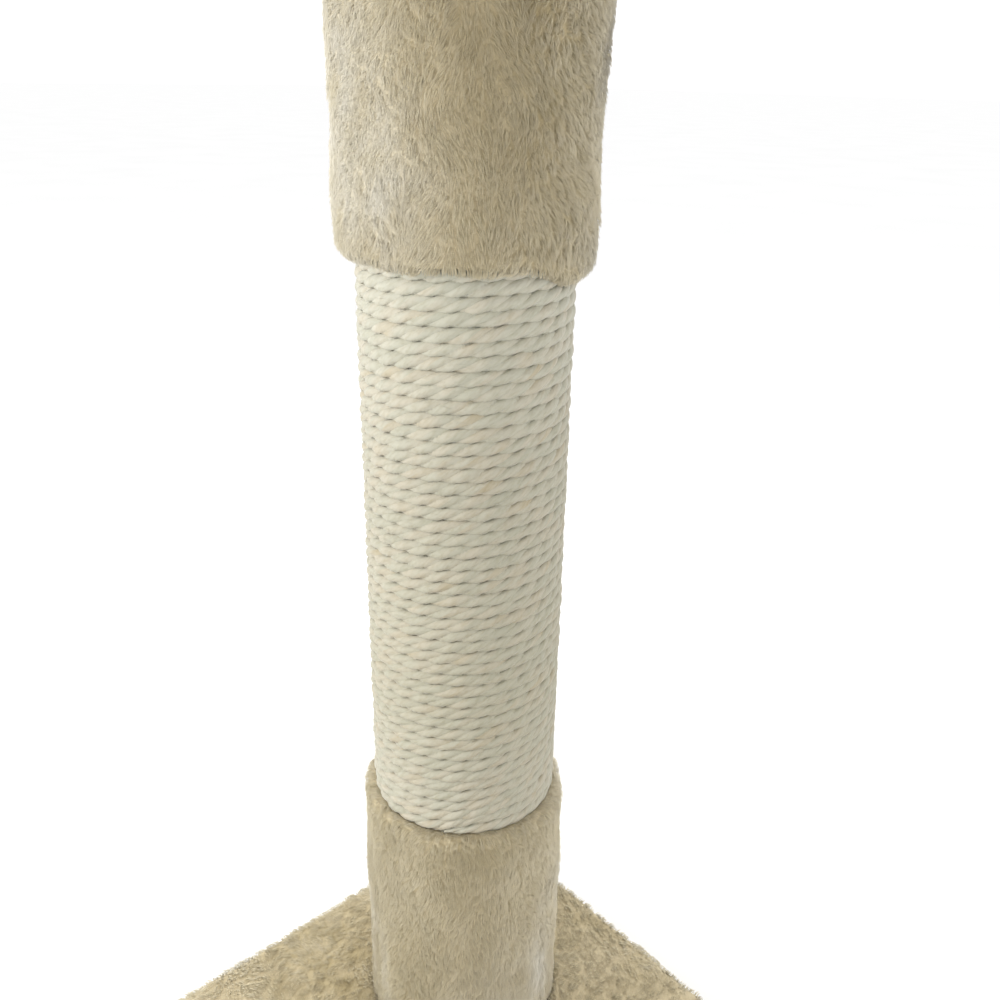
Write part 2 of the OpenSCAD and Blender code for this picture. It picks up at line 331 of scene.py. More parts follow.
def grow_pile(name, root, normal, nap, look, seed, clear):
    """Strands from each root, combed along nap, in tufts that lean together. clear(points) moves
    points that would run into a neighbour. look's lengths and angles are a strand's. Returns the
    pieces."""
    rng = np.random.default_rng(seed)
    n = len(root)
    side = np.cross(normal, nap)
    # the patches of painted shade also ruffle the pile, and those of painted highlight smooth it
    rough = look["rough"] * (painted_light_patches(root, -1) - painted_light_patches(root, 1))
    swirl = look["swirl"] * waves(root, look["swirl_size"], seed) * (1 + RUFFLED_SWIRL * rough)
    swirl += rng.normal(0, 0.1, n)
    comb = nap * np.cos(swirl)[:, None] + side * np.sin(swirl)[:, None]
    lean = look["lean"] + look["lean_by"] * waves(root, look["swirl_size"] * 0.8, seed + 1)
    lean = np.clip(lean - RUFFLED_LIFT * rough + rng.normal(0, 0.08, n), 0.05, 1.5)
    length = look["length"] * rng.uniform(0.75, 1.1, n)

    def step(angle):
        way = normal * np.cos(angle)[:, None] + comb * np.sin(angle)[:, None]
        return way * (length[:, None] / 2)

    mid = root + step(lean * MID_LEAN)
    tip = mid + step(np.minimum(lean * TIP_LEAN, MOST_LEAN))
    # tufts: every strand leans towards the tip of the tuft that its root is nearest to
    tufts = rng.choice(n, int(n * look["tufts"]), replace=False)
    tree = KDTree(len(tufts))
    for i in tufts:
        tree.insert(root[i], i)
    tree.balance()
    nearest = np.fromiter((tree.find(p)[1] for p in root), int, n)
    pull = (look["pull"] * rng.uniform(0.5, 1.0, n) * (1 + RUFFLED_PULL * rough))[:, None]
    tip = clear(tip + (tip[nearest] - tip) * pull)
    mid = clear(mid + (mid[nearest] - mid) * pull * MID_PULL)
    width = look["width"] * rng.uniform(0.8, 1.2, n)
    middle = root.mean(0)
    order = np.argsort(np.arctan2(root[:, 1] - middle[1], root[:, 0] - middle[0]))
    pieces = []
    for k, part in enumerate(np.array_split(order, math.ceil(n / STRANDS_PER_PIECE))):
        piece = strand_mesh(
            f"{name}_{k + 1}", root[part], mid[part], tip[part], width[part], normal[part]
        )
        finish_piece(piece, plush)
        pieces.append(piece)
    return pieces


# ---------- materials ----------


def new_material(name, roughness, **values):
    """A material with one Principled shader. values are sockets that are the same all over."""
    material = bpy.data.materials.new(name)
    material.use_nodes = True
    shader = material.node_tree.nodes["Principled BSDF"]
    shader.inputs["Roughness"].default_value = roughness
    for socket, value in values.items():
        shader.inputs[socket.replace("_", " ")].default_value = value
    return material, material.node_tree, shader


def add(tree, kind, **settings):
    """A new node. settings are its sockets' values or its own properties."""
    node = tree.nodes.new(kind)
    for name, value in settings.items():
        if name in node.inputs:
            node.inputs[name].default_value = value
        else:
            setattr(node, name, value)
    return node


def place(tree):
    """Where the surface is, in metres."""
    return add(tree, "ShaderNodeTexCoord").outputs["Object"]


def noise(tree, where, scale, detail=3.0, stretch=(1, 1, 1)):
    mapping = add(tree, "ShaderNodeMapping")
    mapping.inputs["Scale"].default_value = stretch
    tree.links.new(where, mapping.inputs["Vector"])
    texture = add(tree, "ShaderNodeTexNoise", Scale=scale, Detail=detail)
    tree.links.new(mapping.outputs[0], texture.inputs["Vector"])
    return texture.outputs["Fac"]


def ramp(tree, value, *stops):
    """A colour ramp: stops are (position, linear colour)."""
    node = add(tree, "ShaderNodeValToRGB")
    elements = node.color_ramp.elements
    while len(elements) < len(stops):
        elements.new(0.5)
    for element, (position, colour) in zip(elements, stops):
        element.position = position
        element.color = (*colour, 1)
    tree.links.new(value, node.inputs["Fac"])
    return node.outputs["Color"]


def blend_colours(tree, a, b, factor, mode="MIX"):
    """a changed by b. Each of a, b and factor is a value or another node's output."""
    node = add(tree, "ShaderNodeMix", data_type="RGBA", blend_type=mode)
    for socket, value in ((node.inputs[6], a), (node.inputs[7], b), (node.inputs[0], factor)):
        if hasattr(value, "links"):
            tree.links.new(value, socket)
        else:
            socket.default_value = (*value, 1) if hasattr(value, "__len__") else value
    return node.outputs[2]


def bump(tree, shader, height, strength, distance):
    node = add(tree, "ShaderNodeBump", Strength=strength, Distance=distance)
    tree.links.new(height, node.inputs["Height"])
    tree.links.new(node.outputs["Normal"], shader.inputs["Normal"])


PLUSH_SHADED_GAP = (0.52, 0.445, 0.30)          # painted shade deep between the tufts
PLUSH_SHADED_BED = (0.60, 0.515, 0.35)          # the dense pile under the strands, darker than they with painted shade
PLUSH_ROOT = (0.62, 0.52, 0.32)          # a strand's foot
PLUSH_DARK = (0.67, 0.57, 0.355)         # from here to PLUSH_PALE, different strands' tips
PLUSH_MID = (0.69, 0.595, 0.38)
PLUSH_PALE = (0.715, 0.63, 0.41)
# painted highlight and painted shade, mixed into the pile's colour at the light patches
PLUSH_PAINTED_HIGHLIGHT = (0.84, 0.79, 0.65)
PLUSH_PAINTED_SHADE = (0.40, 0.325, 0.175)


def with_painted_light(tree, colour):
    """The colour, with painted highlight and painted shade mixed in where the light patches fall."""
    for attribute, tone in (("painted_light_patches", PLUSH_PAINTED_HIGHLIGHT), ("painted_shade_patches", PLUSH_PAINTED_SHADE)):
        amount = add(tree, "ShaderNodeAttribute", attribute_name=attribute).outputs["Fac"]
        colour = blend_colours(tree, colour, tone, amount)
    return colour


def plush_material():
    """Pile: paler towards the tips, each strand a little different, in soft patches."""
    material, tree, shader = new_material(
        "plush", 0.9, Sheen_Weight=0.3, Sheen_Roughness=0.5, Specular_IOR_Level=0.1,
        Subsurface_Weight=0.4, Subsurface_Scale=1.2 * MM, Subsurface_Radius=(1.0, 1.0, 1.0),
    )
    shader.inputs["Sheen Tint"].default_value = (0.95, 0.90, 0.78, 1)
    where = place(tree)
    island = add(tree, "ShaderNodeNewGeometry").outputs["Random Per Island"]
    each = ramp(tree, island, (0.0, PLUSH_DARK), (0.45, PLUSH_MID), (1.0, PLUSH_PALE))
    patches = noise(tree, where, 26.0, 2.0)
    tint = ramp(tree, patches, (0.36, (0.93, 0.92, 0.89)), (0.64, (1.05, 1.06, 1.08)))
    body = blend_colours(tree, each, tint, 1.0, "MULTIPLY")
    height = add(tree, "ShaderNodeAttribute", attribute_name="height").outputs["Fac"]
    rise = add(tree, "ShaderNodeMapRange", interpolation_type="SMOOTHSTEP")
    rise.inputs["From Max"].default_value = 0.75
    tree.links.new(height, rise.inputs["Value"])
    colour = blend_colours(tree, PLUSH_ROOT, body, rise.outputs["Result"])
    tree.links.new(with_painted_light(tree, colour), shader.inputs["Base Color"])
    return material


def ground_material():
    """The dense pile under the strands, seen between the tufts, darker than the strands with painted
    shade.
    """
    material, tree, shader = new_material(
        "plush_ground", 0.95, Sheen_Weight=0.15, Sheen_Roughness=0.5, Specular_IOR_Level=0.1
    )
    where = place(tree)
    fine = noise(tree, where, 520, 4.0)
    colour = ramp(tree, fine, (0.35, PLUSH_SHADED_GAP), (0.65, PLUSH_SHADED_BED))
    tree.links.new(with_painted_light(tree, colour), shader.inputs["Base Color"])
    bump(tree, shader, fine, 0.5, 0.0006)
    return material


def sisal_material():
    """Twisted sisal: fine fibres along each strand, cream with grey-green and pink lengths, with a
    painted highlight near the winding's top and painted shade, darker and yellower, towards the post's
    foot."""
    material, tree, shader = new_material(
        "sisal", 0.8, Sheen_Weight=0.25, Sheen_Roughness=0.4, Specular_IOR_Level=0.25
    )
    uv = add(tree, "ShaderNodeUVMap", uv_map="along").outputs["UV"]
    fibres = noise(tree, uv, 1.0, 5.0, stretch=(0.35, 9.0, 1.0))
    lengths = noise(tree, uv, 1.0, 2.0, stretch=(0.045, 0.6, 1.0))
    tone = ramp(
        tree, lengths,
        (0.30, (0.44, 0.435, 0.355)), (0.46, (0.475, 0.465, 0.385)),
        (0.60, (0.50, 0.47, 0.385)), (0.76, (0.46, 0.41, 0.30)),
    )
    thread = ramp(tree, fibres, (0.30, (0.88, 0.86, 0.81)), (0.55, (1.0, 1.0, 1.0)))
    where = add(tree, "ShaderNodeSeparateXYZ")
    tree.links.new(place(tree), where.inputs[0])
    height = add(tree, "ShaderNodeMapRange")
    height.inputs["From Min"].default_value = rope_low.z
    height.inputs["From Max"].default_value = rope_high.z
    tree.links.new(where.outputs["Z"], height.inputs["Value"])
    # painted light by height: a painted highlight near the top, and painted shade, darker and yellower,
    # lower down
    painted_height_light = ramp(
        tree, height.outputs["Result"],
        (0.05, (0.95, 0.94, 0.92)), (0.25, (0.89, 0.875, 0.83)),
        (0.65, (0.93, 0.92, 0.90)), (0.92, (1.04, 1.045, 1.05)),
    )
    thread = blend_colours(tree, thread, painted_height_light, 1.0, "MULTIPLY")
    colour = blend_colours(tree, tone, thread, 1.0, "MULTIPLY")
    tree.links.new(colour, shader.inputs["Base Color"])
    bump(tree, shader, fibres, 0.6, 0.0005)
    return material


def board_material(name, dark, pale):
    """Raw particle board: flakes of several tones."""
    material, tree, shader = new_material(name, 0.75)
    where = place(tree)
    flakes = add(tree, "ShaderNodeTexVoronoi", Scale=420.0)
    tree.links.new(where, flakes.inputs["Vector"])
    colour = ramp(tree, flakes.outputs["Color"], (0.2, dark), (0.8, pale))
    tree.links.new(colour, shader.inputs["Base Color"])
    bump(tree, shader, flakes.outputs["Distance"], 0.3, 0.0003)
    return material


def grain_material(name, dark, pale, stretch):
    """Wood or card: fine lines along one direction."""
    material, tree, shader = new_material(name, 0.7)
    lines = noise(tree, place(tree), 260, 4.0, stretch)
    colour = ramp(tree, lines, (0.35, dark), (0.65, pale))
    tree.links.new(colour, shader.inputs["Base Color"])
    bump(tree, shader, lines, 0.3, 0.0002)
    return material


def steel_material():
    """Zinc-plated steel with a faint mottled crystal tone."""
    material, tree, shader = new_material("zinc_steel", 0.35, Metallic=1.0)
    spangle = noise(tree, place(tree), 900, 2.0)
    colour = ramp(tree, spangle, (0.4, (0.52, 0.53, 0.55)), (0.6, (0.66, 0.67, 0.68)))
    tree.links.new(colour, shader.inputs["Base Color"])
    bump(tree, shader, spangle, 0.1, 0.0001)
    return material


def lining_material():
    """Black spun-bonded cloth with its small pressed dots."""
    material, tree, shader = new_material("lining", 0.9, Sheen_Weight=0.2)
    where = place(tree)
    dots = add(tree, "ShaderNodeTexVoronoi", Scale=550.0, Randomness=0.1)
    tree.links.new(where, dots.inputs["Vector"])
    colour = ramp(tree, dots.outputs["Distance"], (0.2, (0.02, 0.02, 0.02)), (0.5, (0.05, 0.05, 0.05)))
    tree.links.new(colour, shader.inputs["Base Color"])
    bump(tree, shader, dots.outputs["Distance"], 0.6, 0.0003)
    return material


def floor_material():
    material, tree, shader = new_material("studio_floor", 0.9, Specular_IOR_Level=0.0)
    patches = noise(tree, place(tree), 3.0, 2.0)
    colour = ramp(tree, patches, (0.3, (0.87, 0.87, 0.87)), (0.7, (0.89, 0.89, 0.89)))
    tree.links.new(colour, shader.inputs["Base Color"])
    return material


plush = plush_material()
ground = ground_material()
sisal = sisal_material()

# ---------- sleeves ----------

GROUND_DROP = 1.9 * MM           # from the pile's outer surface down to its dense part
ROOT_DEPTH = 0.4 * MM            # how deep the strands' roots sit in the dense part
SLEEVE_COLUMNS = 240
INSIDE_RINGS = 12
SLEEVE_INNER_R = TUBE_R + 0.1 * MM
TOP_RIM_R = 5 * MM               # rounding of a sleeve's upper rim
RIM_FADE = 40 * MM               # how far up a sleeve the wander of its lower rim is felt
SEAM_DEPTH = 1.3 * MM
SEAM_HALF = 2 * MM               # half the width of the seam's dent
PARTED_HALF = 4 * MM             # how far on each side of the seam the pile parts
OVER_ROPE_R = ROPE_OUT_R + 0.3 * MM      # no strand reaches further in than this
SLEEVE_LOOK = {
    "length": 4.8 * MM, "width": 0.27 * MM, "lean": 1.0, "lean_by": 0.1,
    "swirl": 0.45, "swirl_size": 30 * MM, "tufts": 0.045, "pull": 0.42, "rough": 0.6,
}
SLEEVE_DENSITY = 2.0e6           # strands to a square metre


def sleeve_profile(radius, low, high, rim_r):
    """The outer profile of a sleeve from its lower rim to its upper one, as points (radius, height)
    and their outward normals. rim_r is the lower rim's rounding."""
    turn = np.linspace(0, math.pi / 2, 8)
    wall = np.arange(low + rim_r, high - TOP_RIM_R, 2 * MM)[1:]
    r = np.concatenate([
        radius - rim_r + rim_r * np.sin(turn), np.full(len(wall), radius),
        radius - TOP_RIM_R + TOP_RIM_R * np.cos(turn),
    ])
    z = np.concatenate([
        low + rim_r - rim_r * np.cos(turn), wall,
        high - TOP_RIM_R + TOP_RIM_R * np.sin(turn),
    ])
    nr = np.concatenate([np.sin(turn), np.ones(len(wall)), np.cos(turn)])
    nz = np.concatenate([-np.cos(turn), np.zeros(len(wall)), np.sin(turn)])
    return np.stack([r, z], 1), np.stack([nr, nz], 1)


def make_sleeve(name, node, radius, profile, slope, inside, rim, bulge, rope_below, seed):
    """A plush sleeve round the post. profile and inside are its outer and inner wall. rim(angle)
    is how far its lower rim wanders, and bulge(points) how far its outside swells. Its strands lie
    outside the rope up to the height rope_below."""
    angle = np.arange(SLEEVE_COLUMNS) * TAU / SLEEVE_COLUMNS
    wall = np.concatenate([profile, inside])
    low = profile[0, 1]
    weight = 1 - smooth(wall[:, 1] - low, 0, RIM_FADE)
    weight[len(profile):-1] = 0
    z = wall[:, 1, None] + rim(angle) * weight[:, None]
    points = around_post(angle + 0 * z, wall[:, :1] + 0 * z, z).reshape(-1, 3)
    outer = np.repeat(np.arange(len(wall)) < len(profile), SLEEVE_COLUMNS)

    def from_seam(turn):
        return angle_from(SEAM, turn) * radius

    def swell(spots, turn):
        fine, broad = waves(spots, 7 * MM, seed), waves(spots, 30 * MM, seed + 1)
        dent = np.exp(-((from_seam(turn) / SEAM_HALF) ** 2))
        return bulge(spots) + (0.25 * fine + 0.5 * broad) * MM - dent * SEAM_DEPTH

    points += np.tile(outward(angle), (len(wall), 1)) * (
        swell(points, np.tile(angle, len(wall))) * outer
    )[:, None]
    cloth = make_piece(name, points, grid_faces(len(wall), SLEEVE_COLUMNS, wrap_rows=True))
    mark_painted_light(cloth, points)
    finish_piece(cloth, ground)

    rng = np.random.default_rng(seed)
    arc = lengths_along(profile)
    count = int(arc[-1] * TAU * radius * SLEEVE_DENSITY)
    at = rng.uniform(0, arc[-1], count)
    turn = rng.uniform(0, TAU, count)
    root_r, root_z = on_profile(at, arc, profile)
    normal_r, normal_z = on_profile(at, arc, slope)
    shift = rim(turn) * (1 - smooth(root_z - low, 0, RIM_FADE))
    root = around_post(turn, root_r, root_z + shift)
    radial = outward(turn)
    root += radial * (swell(root, turn) - ROOT_DEPTH)[:, None]
    normal = unit(radial * normal_r[:, None] + UP * normal_z[:, None])
    # combed down, parted at the seam, and a little out or in where it turns over a rim
    parted = np.sign(from_seam(turn)) * np.exp(-((from_seam(turn) / PARTED_HALF) ** 2))
    sideways = np.cross(UP, radial) * parted[:, None]
    over_rim = radial * np.where(normal_z > 0, 0.25, -0.1)[:, None]
    nap = along_surface(over_rim + sideways - UP, normal)
    pile = grow_pile(
        name + "_pile", root, normal, nap, SLEEVE_LOOK, seed,
        lambda spots: keep_off(spots, OVER_ROPE_R, rope_below),
    )
    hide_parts(node)


def lower_rim(angle):
    """The lower sleeve's foot wanders a little."""
    return 0.4 * MM * np.cos(5 * angle)


def upper_rim(angle):
    """The upper sleeve's rim sags over the rope on one side."""
    turn = np.degrees(angle_from(FRONT, angle))
    sag = smooth(turn, 25, 62) * (1 - smooth(turn, 100, 165))
    return MM * (0.45 * np.cos(9 * np.radians(turn) + 1) - 6.5 * sag)


def upper_bulge(points):
    """The upper sleeve swells a little towards its top, on the same side."""
    turn = np.arctan2(points[:, 1] - POST_Y, points[:, 0] - POST_X) - FRONT
    side = np.maximum(np.cos(turn - math.radians(80)), 0)
    return 1.8 * MM * side * smooth(points[:, 2] - upper_low.z, 52.4 * MM, 84.4 * MM)


def inside_wall(high, low):
    """A sleeve's inner wall against the tube, as points (radius, height)."""
    return np.stack([np.full(INSIDE_RINGS, SLEEVE_INNER_R), np.linspace(high, low, INSIDE_RINGS)], 1)


def make_lower_sleeve():
    low, high = tube_low.z + 0.6 * MM, lower_high.z - 0.7 * MM
    profile, slope = sleeve_profile(LOWER_R - GROUND_DROP, low, high, 3 * MM)
    make_sleeve(
        "lower_plush_sleeve", "lower_sleeve", LOWER_R, profile, slope, inside_wall(high, low),
        lower_rim, lambda spots: 0 * spots[:, 2], math.inf, 11,
    )


def make_upper_sleeve():
    """Its lowest part is not glued: it lies over the rope's last turns."""
    radius = UPPER_R - GROUND_DROP
    low, high = upper_low.z + 1.8 * MM, upper_high.z - 1.5 * MM
    over_rope = ROPE_OUT_R + 0.5 * MM
    profile, slope = sleeve_profile(radius, low, high, radius - over_rope)
    step = rope_high.z + 0.5 * MM
    lip = [[over_rope, step], [over_rope, low + 0.1 * MM]]
    make_sleeve(
        "upper_plush_sleeve", "upper_sleeve", UPPER_R, profile, slope,
        np.concatenate([inside_wall(high, step), lip]), upper_rim, upper_bulge, rope_high.z, 23,
    )


make_lower_sleeve()
make_upper_sleeve()

# ---------- rope ----------

ROPE_PATH_R = ROPE_OUT_R - ROPE_D / 2
ROPE_START = FRONT - math.radians(10)
ROPE_TURNS = round((rope_high.z - rope_low.z) / ROPE_D) - 1
STRANDS = 3
STRAND_OFFSET = 0.9 * MM
STRAND_R = 1.88 * MM
PRESSED = 1.32                   # how far the turns press each other taller
LAY = 28 * MM                    # length of one full twist
RING_STEP = 1.3 * MM
STRAND_SIDES = 8
FIRST_STEP = 0.07                # the part of a turn that the first step takes
CUT_SIZE = 0.3                   # how thick the rope is at its cut end, as a share
STRAND_APART = 400               # how far apart the strands' places in the noise are
FIBRES = 260                     # loose fibres along the rope
FRAY = 40                        # fibres at the rope's cut end
FIBRE_STEPS = 9
FIBRE_SIDES = 3


def rope_size(turned):
    """How thick the rope is there, from 0 to 1: its cut end is pressed to a wedge."""
    return np.minimum(1, CUT_SIZE + (1 - CUT_SIZE) * turned / TAU / FIRST_STEP)


def rope_centre(turned):
    """The winding's centre line at that angle from its start. The first turn lies level and steps
    up over the start; each later turn spreads its step further round."""
    turns = turned / TAU
    step = np.round(turns)
    spread = np.minimum(1, FIRST_STEP * np.maximum(step, 1))
    early = 0.2 + 0.3 * spread
    climbed = step - 1 + np.clip((turns - step) / spread + early, 0, 1)
    climbed = np.maximum(climbed, 0) + rope_size(turned) / 2
    wander = np.stack([turned * 7 * MM, 0 * turned, 0 * turned], -1)
    radius = ROPE_PATH_R + 0.10 * MM * waves(wander, 9 * MM, 5)
    z = rope_low.z + ROPE_D * climbed + 0.2 * MM * waves(wander, 8 * MM, 6)
    return around_post(ROPE_START + turned, radius, z)


def make_rope():
    """Three strands twisted round the winding's centre line, each a tube with a wobble."""
    total = ROPE_TURNS * TAU
    rings = int(total * ROPE_PATH_R / RING_STEP)
    turned = np.linspace(0, total, rings)
    along = turned * ROPE_PATH_R
    centre = rope_centre(turned)
    out = outward(ROPE_START + turned)
    up = np.array([0, 0, PRESSED]) * rope_size(turned)[:, None]
    line = np.stack([along, 0 * along, 0 * along], -1)
    loose = 0.35 * waves(line, 90 * MM, 7)
    cap = np.arange(STRAND_SIDES)[None]
    for k in range(STRANDS):
        twist = along / LAY * TAU + k * TAU / STRANDS + loose
        wobble = 1 + 0.10 * waves(line, 30 * MM, 40 + k)
        offset = out * np.cos(twist)[:, None] + up * np.sin(twist)[:, None]
        middle = centre + offset * (STRAND_OFFSET * wobble)[:, None]
        spin = twist[:, None] + np.arange(STRAND_SIDES) * TAU / STRAND_SIDES
        round_ = out[:, None] * np.cos(spin)[..., None] + up[:, None] * np.sin(spin)[..., None]
        fat = STRAND_R * (1 + 0.06 * waves(line, 18 * MM, 50 + k))
        points = middle[:, None] + round_ * fat[:, None, None]
        piece = make_piece(
            f"rope_strand_{k + 1}", points.reshape(-1, 3), grid_faces(rings, STRAND_SIDES),
            cap[:, ::-1], cap + (rings - 1) * STRAND_SIDES,
        )
        along_uv(piece, along / MM + k * STRAND_APART, rings)
        finish_piece(piece, sisal)
        if k == 0:
            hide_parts("sisal_rope")


def along_uv(piece, distance, rings):
    """A map whose U runs along a strand in millimetres and whose V runs round it."""
    layer = piece.data.uv_layers.new(name="along")
    corner = np.zeros(len(piece.data.loops), np.int32)
    piece.data.loops.foreach_get("vertex_index", corner)
    ring, k = corner // STRAND_SIDES, corner % STRAND_SIDES
    quads = (rings - 1) * STRAND_SIDES * 4
    wraps = np.zeros(len(corner), bool)
    wraps[:quads] = (np.repeat(k[:quads:4], 4) == STRAND_SIDES - 1) & (k[:quads] == 0)
    v = k / STRAND_SIDES + wraps
    layer.data.foreach_set("uv", np.stack([distance[ring], v], -1).astype(np.float32).ravel())


def make_fibres(name, root, way, side, length, thick, seed):
    """Loose fibres of the rope, each a thin closed curl from root along way, bending to side."""
    rng = np.random.default_rng(seed)
    n, steps, sides = len(root), FIBRE_STEPS, FIBRE_SIDES
    t = np.linspace(0, 1, steps)[None, :, None]
    bend = rng.uniform(-0.5, 0.5, (n, 1, 1))
    path = root[:, None] + (way[:, None] * t + side[:, None] * bend * t**2) * length[:, None, None]
    spin = np.arange(sides) * TAU / sides
    a = unit(np.cross(way, side))
    b = np.cross(unit(way), a)
    round_ = a[:, None] * np.cos(spin)[:, None] + b[:, None] * np.sin(spin)[:, None]
    taper = thick / 2 * (1 - 0.7 * t[..., None])
    points = path[:, :, None] + round_[:, None] * taper
    walls = grid_faces(steps, sides)
    start = np.arange(n)[:, None, None] * steps * sides
    cap = np.arange(sides)[None, None]
    piece = make_piece(
        name, points.reshape(-1, 3), (start + walls).reshape(-1, 4),
        (start + cap[..., ::-1]).reshape(-1, sides),
        (start + cap + (steps - 1) * sides).reshape(-1, sides),
    )
    finish_piece(piece, sisal)


def make_loose_fibres(rng):
    """Fibres that stand off the winding, most of them along it."""
    turned = rng.uniform(0, (ROPE_TURNS - 3) * TAU, FIBRES)
    out, ahead = outward(ROPE_START + turned), onward(ROPE_START + turned)
    root = rope_centre(turned) + out * 2.5 * MM
    turn = rng.uniform(-0.9, 0.9, FIBRES)[:, None] + rng.choice([0, math.pi], FIBRES)[:, None]
    way = unit(ahead * np.cos(turn) + UP * np.sin(turn) + out * rng.uniform(0.1, 0.45, (FIBRES, 1)))
    side = unit(np.cross(way, out)) - out * 0.5
    make_fibres("rope_fibres", root, way, side, rng.uniform(5, 14, FIBRES) * MM, 0.13 * MM, 71)


def make_fray(rng):
    """Fibres out of the rope's cut end."""
    out, ahead = outward(ROPE_START), onward(ROPE_START)
    spread = rng.normal(0, 1, (FRAY, 2)) * 1.1 * MM
    root = rope_centre(np.zeros(FRAY)) + out * spread[:, :1] + UP * spread[:, 1:] + ahead * 1.5 * MM
    way = unit(-ahead + out * rng.normal(0.12, 0.25, (FRAY, 1)) + UP * rng.normal(0, 0.3, (FRAY, 1)))
    side = unit(np.cross(way, out))
    make_fibres("rope_fray", root, way, side, rng.uniform(2.5, 5.5, FRAY) * MM, 0.25 * MM, 72)


make_rope()
fibre_rng = np.random.default_rng(70)
make_loose_fibres(fibre_rng)
make_fray(fibre_rng)

# ---------- plush on the boards ----------

EDGE_R = 6 * MM                  # rounding of a cover's upper edge
COVER_DROP = 1.4 * MM            # from a cover's outer surface down to its dense part
HEM_R = 4 * MM                   # rounding of its lower edge
HEM_WIDTH = 30 * MM              # the margin that is wrapped under a board
HEM_CORNER = 0.27                # how fast the corners tighten towards the hem's inner edge
HEM_RINGS = 8
COVER_COLUMNS = 400
TOP_RINGS = 49                   # from the middle of a cover's top to its edge
BOARD_RINGS = 24                 # from the board's edge to its middle, under the cloth
MIDDLE = 0.02                    # size of the innermost ring, as a share of the outline
ROOT_SINK = 0.8 * MM             # how deep the strands' roots sit in a cover
BOARD_NAP = np.array([0.4, -0.9, 0])
BOARD_LOOK = {
    "length": 5.0 * MM, "width": 0.42 * MM, "lean": 0.88, "lean_by": 0.1,
    "swirl": 1.1, "swirl_size": 60 * MM, "tufts": 0.05, "pull": 0.35, "rough": 0.0,
}
UNDER_LOOK = dict(BOARD_LOOK, length=4.5 * MM)
BASE_DENSITY = 0.7e6             # strands to a square metre
PERCH_DENSITY = 0.4e6
PANEL_DENSITY = 0.3e6
SIDE_FULLER = 1.15               # the strands on a cover's sides stand closer by this factor


def outline(s, half_x, half_y, corner):
    """Points and outward normals along a rectangle with round corners, s from 0 to 1."""
    straight_x, straight_y = 2 * (half_x - corner), 2 * (half_y - corner)
    arc = corner * math.pi / 2
    quarter = (straight_y + arc, straight_x + arc)
    total = 2 * sum(quarter)
    d = (s % 1) * total
    point, normal = np.zeros((len(d), 2)), np.zeros((len(d), 2))
    start = 0.0
    for side in range(4):
        straight = (straight_y, straight_x)[side % 2]
        size = quarter[side % 2]
        here = (d >= start) & (d < start + size)
        t = d[here] - start
        facing = side * math.pi / 2
        out = np.array([math.cos(facing), math.sin(facing)])
        ahead = np.array([-out[1], out[0]])
        reach = (half_x, half_y)[side % 2]
        on = t < straight
        bend = np.where(on, 0, (t - straight) / corner)
        run = np.where(on, t, straight) - straight / 2
        way = out * np.cos(bend)[:, None] + ahead * np.sin(bend)[:, None]
        point[here] = out * (reach - corner) + ahead * run[:, None] + way * corner
        normal[here] = way
        start += size
    return point, normal


def cover_profile(low, high, board_low, board_high):
    """The profile of a cover's outer face from its upper edge to its hem underneath, as
    (outset, height) from the board's outline, and its normals."""
    thick = (high.x - low.x - board_high.x + board_low.x) / 2 - COVER_DROP
    top, bottom = high.z - COVER_DROP, low.z
    turn = np.linspace(0, math.pi / 2, 8)
    edge = np.stack([thick - EDGE_R + EDGE_R * np.sin(turn), top - EDGE_R + EDGE_R * np.cos(turn)], 1)
    hem = np.stack([thick - HEM_R + HEM_R * np.cos(turn), bottom + HEM_R - HEM_R * np.sin(turn)], 1)
    way = np.concatenate([
        np.stack([np.sin(turn), np.cos(turn)], 1), np.stack([np.cos(turn), -np.sin(turn)], 1)
    ])
    return np.concatenate([edge, hem]), way


def level_box(low, high):
    """The middle and half the size of a box, seen from above."""
    return (
        np.array([(low.x + high.x) / 2, (low.y + high.y) / 2]),
        np.array([(high.x - low.x) / 2, (high.y - low.y) / 2]),
    )


def at_height(spots, z):
    """Points at the height z over spots seen from above."""
    return np.concatenate([spots, np.full((len(spots), 1), z)], 1)


def press_down(points, radius, z, soften):
    """Lowers what lies near the post's axis to z, as a foot standing on plush does."""
    weight = 1 - smooth(from_axis(points), radius, radius + soften)
    points[:, 2] += (np.minimum(points[:, 2], z) - points[:, 2]) * weight


def cover_rings(centre, half, profile, hem_z, board_low_z, board_high_z):
    """Rings of points over a cover's cloth: from the middle of the top over its edge, down the
    sides and along the hem, and then back against the board."""
    s = np.arange(COVER_COLUMNS) / COVER_COLUMNS
    spread, facing = outline(s, *half, BOARD_CORNER_R)

    def ring(outset, z, shrink=1.0):
        return at_height(centre + (spread + facing * outset) * shrink, z)

    edge_out, top_z = profile[0]
    rings = [ring(edge_out, top_z, k) for k in np.linspace(MIDDLE, 1, TOP_RINGS + 1)[:-1]]
    rings += [ring(outset, z) for outset, z in profile]
    for inset in np.linspace(2 * MM, HEM_WIDTH, HEM_RINGS):
        margin = centre + outline(s, *(half - inset), BOARD_CORNER_R - inset * HEM_CORNER)[0]
        rings.append(at_height(margin, hem_z))
    rings += [at_height(margin, board_low_z), ring(-0.2 * MM, board_low_z), ring(0.0, board_high_z)]
    rings += [ring(0.0, board_high_z, k) for k in np.linspace(0.95, MIDDLE, BOARD_RINGS)]
    return rings


